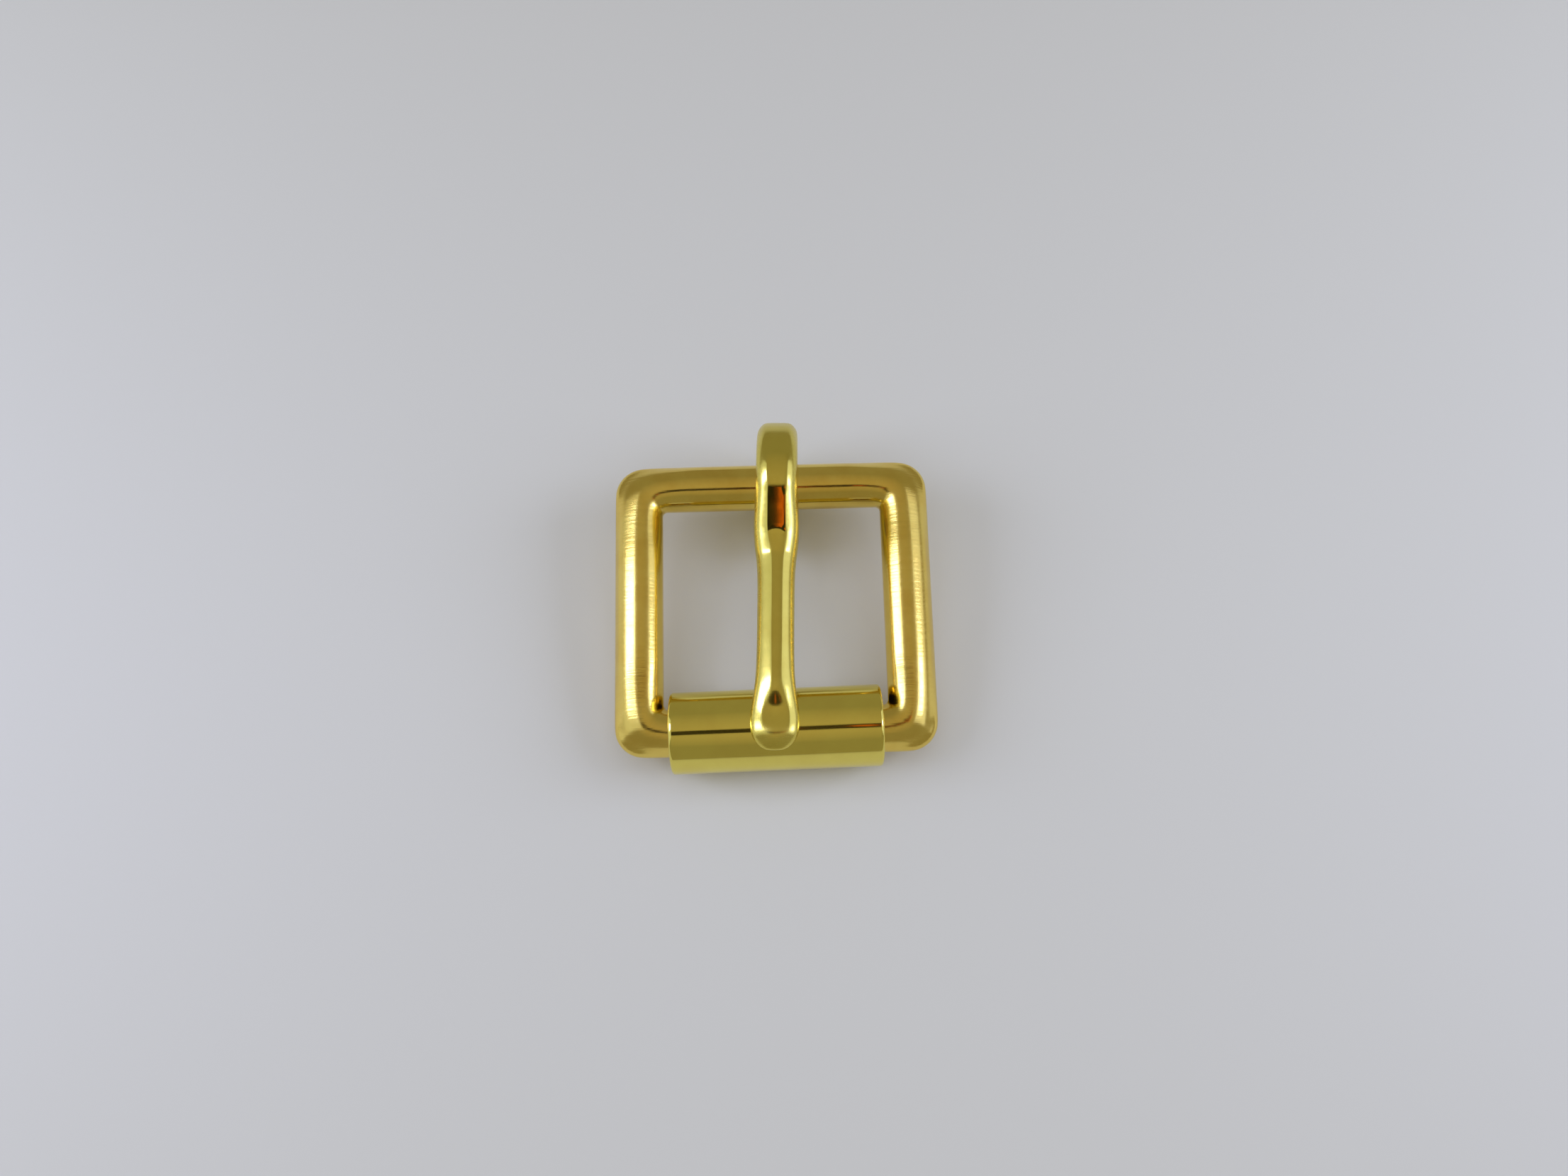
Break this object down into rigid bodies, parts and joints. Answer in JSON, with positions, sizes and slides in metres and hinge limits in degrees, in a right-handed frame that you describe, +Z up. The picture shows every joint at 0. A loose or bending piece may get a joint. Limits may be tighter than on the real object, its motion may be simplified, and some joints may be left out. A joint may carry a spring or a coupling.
{
  "type": "roller buckle",
  "caption": "Brass roller buckle: a rectangular cast frame of round bar, a tube roller on the front bar and a tongue that swings on the rear bar.",
  "frame": {"origin": "middle of the part's box, on the surface that it lies on", "axes": "+X along the bars, to the right in the picture; +Y from the roller to the rear bar; +Z up from the surface"},
  "size_m": [0.023, 0.0256, 0.0095],
  "materials": {
    "frame_brass": "satin brushed",
    "roller_brass": "polished",
    "tongue_brass": "tumbled satin"
  },
  "bodies": {
    "frame": {"frame": "frame_brass"},
    "roller": {"roller": "roller_brass"},
    "tongue": {"tongue": "tongue_brass"}
  },
  "joints": [
    {"name": "tongue_swing", "type": "hinge", "parent": "frame", "child": "tongue", "pos_m": [0.0005, 0.00803, 0.00475], "axis": [-0.9995, 0.0314, 0], "range_deg": [0, 180]},
    {"name": "roller_spin", "type": "hinge", "parent": "frame", "child": "roller", "pos_m": [-0.00012, -0.0098, 0.00287], "axis": [0.9999, 0.0166, 0], "continuous": true}
  ]
}
